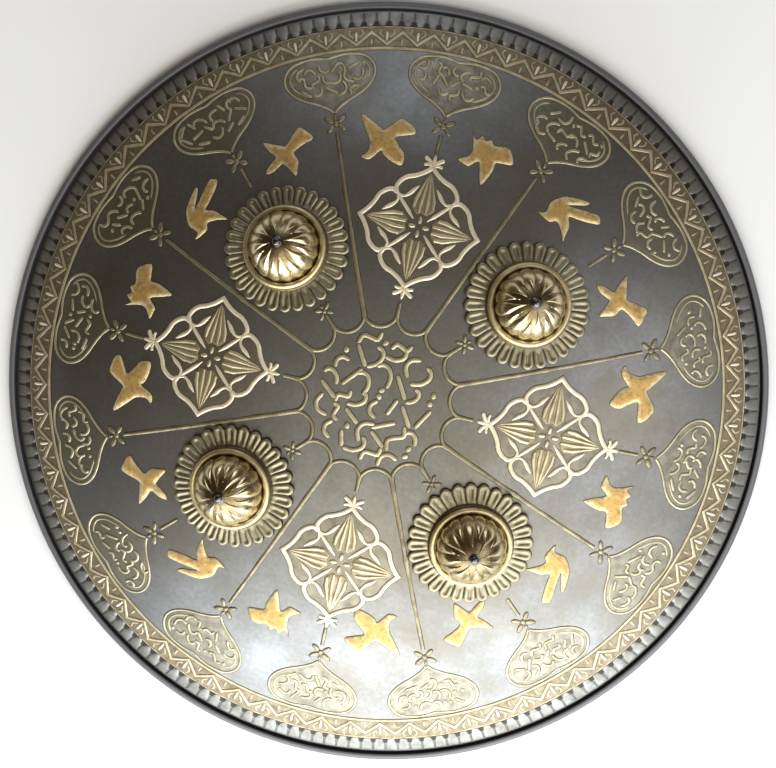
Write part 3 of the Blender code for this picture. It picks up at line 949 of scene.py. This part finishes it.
for medallion in range(4):
    ridge(frames, medallion_outline(medallion), 2.3 * mm, 0.62 * mm, closed=True)
    for corner in range(4):
        for points in (spur_line, [(y, x) for x, y in spur_line]):
            ridge(frames, smooth(on_medallion(points, corner, medallion), steps=2),
                  in_mm(1.3, 1.3, 1.3, 1.5, 1.9, 2.2, 2.1, 1.5, 0.5), frame_height)
        ridge(frames, on_medallion(inner_spur, corner, medallion), in_mm(1.2, 1.9, 2.0, 0.6), frame_height)
    for corner in (0, 2):
        tail = on_medallion([(28.4, 0), (35.0, 0)], corner, medallion)
        stroke(frames, tail, 2.2 * mm, frame_height, end=0)
        for side in (-1, 1):
            for line, width in (([(29.8, 0.4), (31.8, 2.6), (33.0, 4.9)], 2.1 * mm),
                                ([(29.4, 0.6), (29.8, 2.8), (29.2, 4.7)], 1.6 * mm)):
                stroke(frames, on_medallion(mirrored(line, side), corner, medallion), width, frame_height)
settle(new_piece("medallion_frames", frames), silvered_line)

# %% Medallion leaves
leaf_brass = relief_metal("leaf_brass", (0.66, 0.59, 0.41), (0.47, 0.405, 0.27), 0.48)
leaf_shade = relief_metal("leaf_shade", (0.40, 0.34, 0.22), (0.26, 0.22, 0.14), 0.5)
leaf_side = [(26.2, 0), (21.0, 1.9), (16.0, 3.7), (12.0, 5.1), (9.0, 5.9), (7.2, 4.4), (5.6, 2.4), (6.6, 0)]
leaf_outline = leaf_side + mirrored(reversed(leaf_side[1:-1]), -1)
leaf_rib_lines = (([(25.0, 0.35), (18, 1.0), (11.5, 1.6), (6.6, 1.6)], (0.5, 1.4, 2.2, 1.3), 0.7 * mm),
                  ([(24.0, 1.0), (18, 2.8), (12.6, 4.4), (8.6, 4.6)], (0.4, 1.3, 2.2, 1.6), 0.65 * mm))
leaves = new_shape("inward")
leaf_ribs = new_shape()
for medallion in range(4):
    for corner in range(4):
        outline = counter_clockwise(on_medallion(leaf_outline, corner, medallion))
        plate(leaves, outline, 0.22 * mm, 1.8 * mm, 0.25 * mm)
        for side in (-1, 1):
            for line, widths, height in leaf_rib_lines:
                rib = on_medallion(mirrored(line, side), corner, medallion)
                ridge(leaf_ribs, rib, in_mm(*widths), height)
        bead(leaf_ribs, on_medallion([(3.3, 0)], corner, medallion)[0], 4.0 * mm, 2.2 * mm, 0.6 * mm,
             90 * (medallion + corner), 8)
settle(new_piece("medallion_leaves", leaves), leaf_shade, sharp=50)
settle(new_piece("medallion_ribs", leaf_ribs), leaf_brass)

# %% Brown grounds
ornament_ground = relief_metal("ornament_ground", (0.285, 0.265, 0.215), (0.19, 0.175, 0.14), 0.43, 5 * mm,
                               metallic=1.0)
ground_outlines = [turned_points(cartouche_outline, index * spoke_angle) for index in range(spoke_count)]
ground_outlines += [medallion_outline(medallion) for medallion in range(4)]
grounds = new_shape("inward")
for outline in ground_outlines:
    plate(grounds, outline, 0.07 * mm, 3 * mm, 0.2 * mm)
settle(new_piece("ornament_grounds", grounds), ornament_ground)

# %% [markdown]
# ## Bosses
#
# Each boss is a cast brass dome inside a bright collar, with eight long petals running down from
# a dark knob and a small drop between each two near the collar. The whole boss, with its foot and
# the riveted shank behind the shell, is turned in one section, and the petals are then raised by
# moving the dome's points outward.

# %% The brass of the bosses


def cast_brass(name, bright, dull, deep, roughness):
    board = Board(name, 1.0, roughness)
    rise = board.attribute("rise")
    patches = board.noise(5 * mm, 4.0, 0.6)
    grain = board.noise(0.9 * mm, 3.0, 0.6)
    metal = board.mix((patches * 0.7 + grain * 0.3).within(0.4, 0.7), bright, dull)
    # Painted shade: where rise is low, in the valleys and slits and at the foot of the collar, the brass
    # darkens to the deep colour.
    metal = board.mix((rise + (grain - 0.5) * 0.35).within(0.1, 0.7), deep, metal)
    board.feed("Base Color", board.mix(board.attribute("hub"), metal, (0.055, 0.065, 0.090)))
    board.feed("Roughness", roughness + 0.12 - rise * 0.12 + patches * 0.1 + board.attribute("dull") * 0.2)
    board.bump(grain + patches * 0.8, 0.1 * mm, 0.4)
    return board.material


boss_brass = cast_brass("boss_brass", (0.69, 0.59, 0.37), (0.49, 0.40, 0.215), (0.09, 0.062, 0.027), 0.20)
rosette_brass = cast_brass("rosette_brass", (0.37, 0.335, 0.235), (0.26, 0.23, 0.155),
                           (0.085, 0.073, 0.048), 0.44)

# %% The place of a boss
rosette_radius = 30.6 * mm
strap_width = 22 * mm
fit_gap = 0.3 * mm
rosette_thickness = 1.4 * mm


def facet_sag(spacing):
    bend = dome_slope(edge_radius) * (dome_power - 1) / edge_radius
    return spacing ** 2 * bend / 8


rosette_lift = fit_gap + facet_sag(rosette_radius)
boss_base = rosette_lift + rosette_thickness + fit_gap
strap_lift = shell_wall + fit_gap + facet_sag(edge_radius / 6)
strap_thickness = 3 * mm
washer_thickness = 1.2 * mm
washer_lift = strap_lift + strap_thickness + fit_gap + facet_sag(strap_width)
rivet_top = -washer_lift - washer_thickness - fit_gap


def boss_frame(index):
    slope = math.atan(dome_slope(boss_circle_radius))
    place = Matrix.Translation((boss_circle_radius, 0, dome_height(boss_circle_radius)))
    return Matrix.Rotation(math.radians(45 + 90 * index), 4, "Z") @ place @ Matrix.Rotation(slope, 4, "Y")


def settle_four(source, name, finish, stands_for, sharp=35):
    """Settle a copy of a piece, with its own mesh, at each boss. The first one is removed."""
    for index in range(4):
        copy = placed(f"{name}_{index + 1}", source.data.copy())
        copy.matrix_world = boss_frame(index)
        settle(copy, finish, [f"{stands_for}_{index + 1}"], sharp)
    bpy.data.objects.remove(source)


# %% One fluted boss
boss_height = 21.5 * mm
knob_radius = 2.05 * mm
dome_foot_radius = 16.9 * mm
dome_foot = 2.6 * mm
collar_middle = 18.6 * mm
collar_half = 1.5 * mm
boss_steps = 224


def boss_section():
    section = [(0, boss_height), (0.9 * mm, boss_height - 0.12 * mm), (1.7 * mm, boss_height - 0.6 * mm),
               (2.1 * mm, boss_height - 1.4 * mm), (2.0 * mm, boss_height - 2.0 * mm)]
    rise = boss_height - 2.2 * mm - dome_foot
    start = math.radians(9)
    for step in range(40):
        angle = start + (math.pi / 2 - start) * step / 39
        height = dome_foot + rise * math.cos(angle) / math.cos(start)
        section.append((dome_foot_radius * math.sin(angle), height))
    section += [(16.95 * mm, 2.3 * mm), (17.05 * mm, 2.3 * mm)]
    for step in range(11):
        angle = math.radians(170 - 170 * step / 10)
        height = 2.6 * mm + collar_half * math.sin(angle)
        section.append((collar_middle + collar_half * math.cos(angle), height))
    section += [in_mm(*point) for point in ((19.95, 2.0), (20.0, 1.4), (20.3, 0.9), (20.7, 0.5), (20.8, 0.2),
                                            (20.8, 0), (3.0, 0))]
    section = [(radius, boss_base + height) for radius, height in section]
    for radius, drop in ((3.0, 0), (4.3, 0), (4.5, 0.2), (4.1, 0.75), (2.9, 1.1), (0, 1.2)):
        section.append((radius * mm, rivet_top - drop * mm))
    return section


# %% Petals on the dome
petal_pitch = 45
long_petal = {"top": 0.13, "bottom": 1.03, "widest": 0.56, "bias": 1.25}
low_drop = {"top": 0.30, "bottom": 1.03, "widest": 0.46, "bias": 1.35}
petal_lift = 0.95 * mm
valley_depth = 0.4 * mm


def petal(share, across, top, bottom, widest, bias):
    """Swell of a long petal, from 0 to 1. share runs down the dome, across is in half pitches."""
    if not top < share < bottom:
        return 0
    run = (share - top) / (bottom - top)
    half_width = widest * math.sin(math.pi * run ** bias)
    return max(0, 1 - (across / max(half_width, 0.01)) ** 2) ** 0.6


def raise_petals(point, radius):
    """Move a point of the dome out to its petal, and return how much it is risen, which is lower for painted
    shade in the valleys and near the collar.
    """
    share = math.degrees(math.asin(min(radius / dome_foot_radius, 1))) / 90
    half_pitch = petal_pitch / 2
    turn = math.degrees(math.atan2(point.y, point.x)) % petal_pitch
    swell = petal(share, (turn - half_pitch) / half_pitch, **long_petal)
    drop = petal(share, min(turn, petal_pitch - turn) / half_pitch, **low_drop)
    lift = petal_lift * max(swell, drop * 0.8) - valley_depth
    lift *= math.sin(math.radians(90 * share)) ** 0.5
    outward = Vector((point.x / radius * share, point.y / radius * share, 1 - share * 0.8)).normalized()
    point += outward * lift * min(1, (1 - share) / 0.25)
    return (0.3 + 0.7 * min(max(swell, drop) * 1.9, 1)) * min(1, 0.45 + (1 - share) / 0.15)


# %% Four bosses
boss = spun("fluted_boss", boss_section(), boss_steps)
rise_and_shade_values = []
hub_values = []
dull_values = []
for vertex in boss.data.vertices:
    radius = math.hypot(vertex.co.x, vertex.co.y)
    height = vertex.co.z - boss_base
    on_dome = dome_foot - 0.1 * mm < height < boss_height - 2.05 * mm
    # Rise here also paints shade: lower in the gap between the dome and the collar, and lowest at the
    # collar's foot.
    value = 0.9
    if on_dome and knob_radius < radius < dome_foot_radius + 0.02 * mm:
        value = raise_petals(vertex.co, radius)
    elif dome_foot_radius < radius < 17.15 * mm and height < 3.0 * mm:
        value = 0.45
    elif radius > collar_middle and height < 2.2 * mm:
        value = 0.25
    elif radius > 17.1 * mm:
        value = 0.8
    rise_and_shade_values.append(value)
    dull_values.append(float(radius > 17.05 * mm))
    hub_values.append(min(max((3.6 * mm - radius) / (1.2 * mm), 0), 0.85) if height > boss_height / 2 else 0)
store(boss, "rise", rise_and_shade_values)
store(boss, "hub", hub_values)
store(boss, "dull", dull_values)
settle_four(boss, "fluted_boss", boss_brass, "boss", 60)

# %% [markdown]
# ## Rosettes
#
# Under each boss lies a brass disc whose edge is cut into narrow round petals. Every petal has a
# raised rim round a slit. The disc is a fine polar grid, and the height of each point comes from
# how far it lies from the middle line of its petal. Shade is painted dark in each slit and along
# the petals' edges.

# %% The edge and the face of a rosette
petal_count = 28
petal_columns = 14
petal_half_width = 3.0 * mm
petal_end = rosette_radius - petal_half_width
rosette_hole = 3.4 * mm
notch_depth = 2.2 * mm
rim_height = 0.65 * mm
slit_depth = 0.15 * mm
edge_drop = 0.3 * mm
face_drop = 0.55 * mm


def rosette_edge(across):
    """Radius of the scalloped edge at a distance from a petal's middle line."""
    reach = max(petal_half_width ** 2 - across ** 2, 0)
    return max(rosette_radius - notch_depth, petal_end + math.sqrt(reach))


def petal_face(across, radius, share):
    """Thickness of the disc at a point of its upper face, and how lit it is painted: shade is painted in the
    slit and along the petal's edge.
    """
    half_width = petal_half_width * min(radius / petal_end, 1)
    away = math.hypot(across, max(radius - petal_end, 0)) / half_width
    rim = math.exp(-((away - 0.58) / 0.34) ** 2)
    slit = 1 - min(away / 0.3, 1)
    lift = rim_height * rim - slit_depth * slit - (edge_drop if away > 0.98 else 0)
    thick = rosette_thickness - (face_drop if share > 0.7 else 0) + lift * unit((share - 0.68) / 0.08)
    # Painted shade: darker along the petal's edge and in its slit, and half dark on the face hidden under
    # the boss.
    shade = 0.75 * unit((away - 0.8) / 0.2) + 0.45 * unit((0.34 - away) / 0.22)
    return min(thick, rosette_thickness), 1 - shade if share > 0.66 else 0.6


# %% Four rosettes
face_shares = [0, 0.35, 0.6, 0.68, 0.73] + [0.76 + 0.24 * step / 16 for step in range(17)]


def laid_on_dome(radius, turn, frame_matrix, lift):
    """Drop a point of a boss's plane onto the dome, then lift it along the boss's axis."""
    spot = frame_matrix @ Vector((radius * math.cos(turn), radius * math.sin(turn), 0))
    axis = frame_matrix.to_3x3() @ Vector((0, 0, 1))
    drop = spot.z - dome_height(math.hypot(spot.x, spot.y))
    return spot + axis * (lift - drop * axis.z)


def rosette(index):
    shape = new_shape()
    frame_matrix = boss_frame(index)
    columns = petal_count * petal_columns
    rows = []
    for share, under in [(share, None) for share in face_shares] + [(1, fit_gap), (0, rosette_lift)]:
        row = []
        for column in range(columns):
            from_middle = ((column % petal_columns) / petal_columns - 0.5) * 2 * math.pi / petal_count
            radius = rosette_hole + (rosette_edge(from_middle * rosette_radius) - rosette_hole) * share
            thick, rise = petal_face(from_middle * radius, radius, share)
            lift = rosette_lift + thick if under is None else under
            place = laid_on_dome(radius, 2 * math.pi * column / columns, frame_matrix, lift)
            row.append(new_point(shape, place, rise if under is None else 0))
        rows.append(row)
    bridge(shape, rows + rows[:1])
    return new_piece(f"petal_rosette_{index + 1}", shape, turn_out=True)


for index in range(4):
    settle(rosette(index), rosette_brass, [f"rosette_{index + 1}"], 60)

# %% [markdown]
# ## Washers and straps inside
#
# Plain steel washers spread each rivet's load on a leather strap, and the two straps, for the
# hand and for the forearm, bow away from the steel.

# %% Washers
washer_steel = relief_metal("washer_steel", (0.20, 0.19, 0.18), (0.11, 0.09, 0.07), 0.42)
washer_section = [(3.4, -1.2), (3.4, -0.1), (3.6, 0), (7.7, 0), (8.0, -0.3), (8.0, -0.9), (7.7, -1.2),
                  (3.4, -1.2)]
washer = spun("washer", [(radius * mm, height * mm - washer_lift) for radius, height in washer_section], 48)
store(washer, "rise", [1.0] * len(washer.data.vertices))
settle_four(washer, "steel_washer", washer_steel, "washer")

# %% Leather


def strap_leather():
    board = Board("strap_leather", 0.0, 0.6)
    pores = board.add("ShaderNodeTexVoronoi", {"feature": "DISTANCE_TO_EDGE"}, Vector=board.place,
                      Scale=1 / (1.3 * mm)).out("Distance")
    creases = board.noise(7 * mm, 5.0, 0.65)
    worn = board.noise(22 * mm, 3.0).within(0.4, 0.7)
    brown = board.mix(worn, (0.085, 0.040, 0.020), (0.19, 0.098, 0.048))
    brown = board.mix(creases.within(0.5, 0.75) * 0.5, brown, (0.05, 0.026, 0.014))
    board.feed("Base Color", board.mix(board.attribute("rise"), (0.035, 0.019, 0.011), brown))
    board.feed("Roughness", 0.5 + worn * 0.16 + creases * 0.1)
    board.bump(pores.within(0.0, 0.12) * 0.6 + creases * 0.8, 0.25 * mm, 0.6)
    return board.material


leather_finish = strap_leather()
thread_finish = relief_metal("linen_thread", (0.50, 0.42, 0.30), (0.34, 0.27, 0.18), 0.8, metallic=0.0)

# %% The path of a strap
hand_room = 31 * mm
washer_seat = 8.6 * mm
strap_tail = 12 * mm
bow_steps = 48


def strap_path(first, second):
    """Places on a strap's upper face, each with the directions across the strap, along it and down."""
    frames_of = [boss_frame(first), boss_frame(second)]
    ends = [matrix @ Vector((0, 0, -strap_lift)) for matrix in frames_of]
    axes = [matrix.to_3x3() @ Vector((0, 0, 1)) for matrix in frames_of]
    chord = (ends[1] - ends[0]).normalized()
    tangents = [(chord - axis * chord.dot(axis)).normalized() for axis in axes]
    bow_ends = [ends[0] + tangents[0] * washer_seat, ends[1] - tangents[1] * washer_seat]
    bow = bow_ends[0].z - inner_height(ends[0].lerp(ends[1], 0.5).to_2d().length) + hand_room
    path = [(ends[0] - tangents[0] * strap_tail * share, 0) for share in (1, 0.9, 0.5, 0)]
    for step in range(bow_steps + 1):
        share = step / bow_steps
        drop = bow * max(math.sin(math.pi * share), 0) ** 1.2
        path.append((bow_ends[0].lerp(bow_ends[1], share) - Vector((0, 0, drop)), share))
    path += [(ends[1] + tangents[1] * strap_tail * share, 1) for share in (0, 0.5, 0.9, 1)]
    places = []
    for index, (spot, share) in enumerate(path):
        side = axes[0].lerp(axes[1], share).cross(chord).normalized()
        along = (path[min(index + 1, len(path) - 1)][0] - path[max(index - 1, 0)][0]).normalized()
        down = along.cross(side).normalized()
        places.append((spot, side, along, -down if down.z > 0 else down))
    return places


# %% Straps
strap_section = ((-0.5, 0.25, 0), (-0.5, 0.75, 0), (-0.47, 0.97, 0.2), (-0.42, 1.0, 1), (-0.36, 0.93, 0.7),
                 (-0.3, 1.0, 1), (0, 1.0, 1), (0.3, 1.0, 1), (0.36, 0.93, 0.7), (0.42, 1.0, 1),
                 (0.47, 0.97, 0.2), (0.5, 0.75, 0), (0.5, 0.25, 0), (0.47, 0.03, 0.2), (0.3, 0, 0.8),
                 (0, 0, 0.8), (-0.3, 0, 0.8), (-0.47, 0.03, 0.2))


def strap(name, first, second):
    places = strap_path(first, second)
    shape = new_shape()
    rows = []
    for index, (spot, side, _, down) in enumerate(places):
        width = strap_width * (0.86 if index in (0, len(places) - 1) else 1)
        rows.append([new_point(shape, spot + side * across * width + down * deep * strap_thickness, rise)
                     for across, deep, rise in strap_section])
    bridge(shape, rows, flipped=True)
    close_ends(shape, rows)
    return new_piece(name, shape, turn_out=True)


settle(strap("hand_strap_leather", 0, 1), leather_finish, ["hand_strap"])
settle(strap("arm_strap_leather", 2, 3), leather_finish, ["arm_strap"])

# %% Stitches
stitch_section = ((-0.85, 0.35), (-0.7, 0.9), (0, 1), (0.7, 0.9), (0.85, 0.35))
thread_radius = 0.38 * mm


def stitches(name, first, second):
    """Short capsules of thread along both edges of a strap's underside."""
    shape = new_shape()
    for spot, side, along, down in strap_path(first, second)[5:-5]:
        for edge in (-0.36, 0.36):
            centre = spot + side * edge * strap_width + down * strap_thickness * 0.97
            rows = []
            for run, size in stitch_section:
                row = []
                for step in range(6):
                    angle = math.radians(60 * step)
                    offset = (side * math.cos(angle) + down * math.sin(angle)) * thread_radius * size
                    row.append(new_point(shape, centre + along * run * mm + offset, 1))
                rows.append(row)
            bridge(shape, rows, flipped=True)
            close_ends(shape, rows)
    return new_piece(name, shape, turn_out=True)


settle(stitches("hand_strap_stitches", 0, 1), thread_finish)
settle(stitches("arm_strap_stitches", 2, 3), thread_finish)

# %% [markdown]
# ## Floor, light and camera
#
# The floor is plain and pale. One large soft light low on the near side gives the bright sheen
# that runs over the lower part of the dome. Three weaker ones fill the right, the crown and the
# far side.

# %% Floor
bpy.ops.object.select_all(action="DESELECT")
bpy.ops.mesh.primitive_plane_add(size=6, location=(0, 0, 0))
floor = bpy.context.active_object
floor.name = "pale_floor"
floor_board = Board("pale_floor", 0.0, 0.9)
floor_tone = floor_board.noise(0.6, 2.0)
floor_board.feed("Base Color", floor_board.mix(floor_tone, (0.84, 0.86, 0.90), (0.87, 0.89, 0.93)))
floor.data.materials.append(floor_board.material)

# %% Camera
picture_up = math.radians(103.1)
camera_distance = 1.0
camera_elevation = math.radians(83.4)
camera_direction = math.radians(71.7)
back = Vector((math.cos(camera_direction) * math.cos(camera_elevation),
               math.sin(camera_direction) * math.cos(camera_elevation), math.sin(camera_elevation)))
up = Vector((math.cos(picture_up), math.sin(picture_up), 0))
up = (up - back * up.dot(back)).normalized()
right = up.cross(back)
camera_data = bpy.data.cameras.new("camera")
camera_data.lens = 92.7
camera = placed("camera", camera_data)
turned = Matrix((right, up, back)).transposed().to_4x4()
aim = right * 1.55 * mm + up * 1.5 * mm
camera.matrix_world = Matrix.Translation(aim + back * camera_distance) @ turned
bpy.context.scene.camera = camera

# %% Light


def soft_light(name, turn, elevation, distance, size, power, colour):
    """A panel that faces the shield. turn is measured in the picture, from its right side."""
    data = bpy.data.lights.new(name, "AREA")
    data.shape = "RECTANGLE"
    data.size, data.size_y = size
    data.energy = power
    data.color = colour
    lamp = placed(name, data)
    angle = picture_up - math.pi / 2 + math.radians(turn)
    tilt = math.radians(elevation)
    away = Vector((math.cos(angle) * math.cos(tilt), math.sin(angle) * math.cos(tilt), math.sin(tilt)))
    lamp.location = away * distance
    lamp.rotation_mode = "QUATERNION"
    lamp.rotation_quaternion = away.to_track_quat("Z", "Y")


soft_light("window_light", 274, 22, 1.3, (2.1, 1.0), 39.5, (0.925, 0.97, 1.0))
soft_light("right_light", 343, 45, 1.7, (1.2, 1.2), 10, (0.97, 0.98, 1.0))
soft_light("upper_light", 275, 60, 1.7, (1.3, 1.1), 10, (1.0, 0.88, 0.66))
soft_light("far_light", 90, 27, 1.8, (0.9, 0.7), 4.5, (0.85, 0.92, 1.0))
world = bpy.data.worlds.new("studio")
world.use_nodes = True
background = world.node_tree.nodes["Background"]
background.inputs["Color"].default_value = (1.0, 0.68, 0.34, 1)
background.inputs["Strength"].default_value = 0.085
bpy.context.scene.world = world
bpy.context.scene.view_settings.view_transform = "Standard"
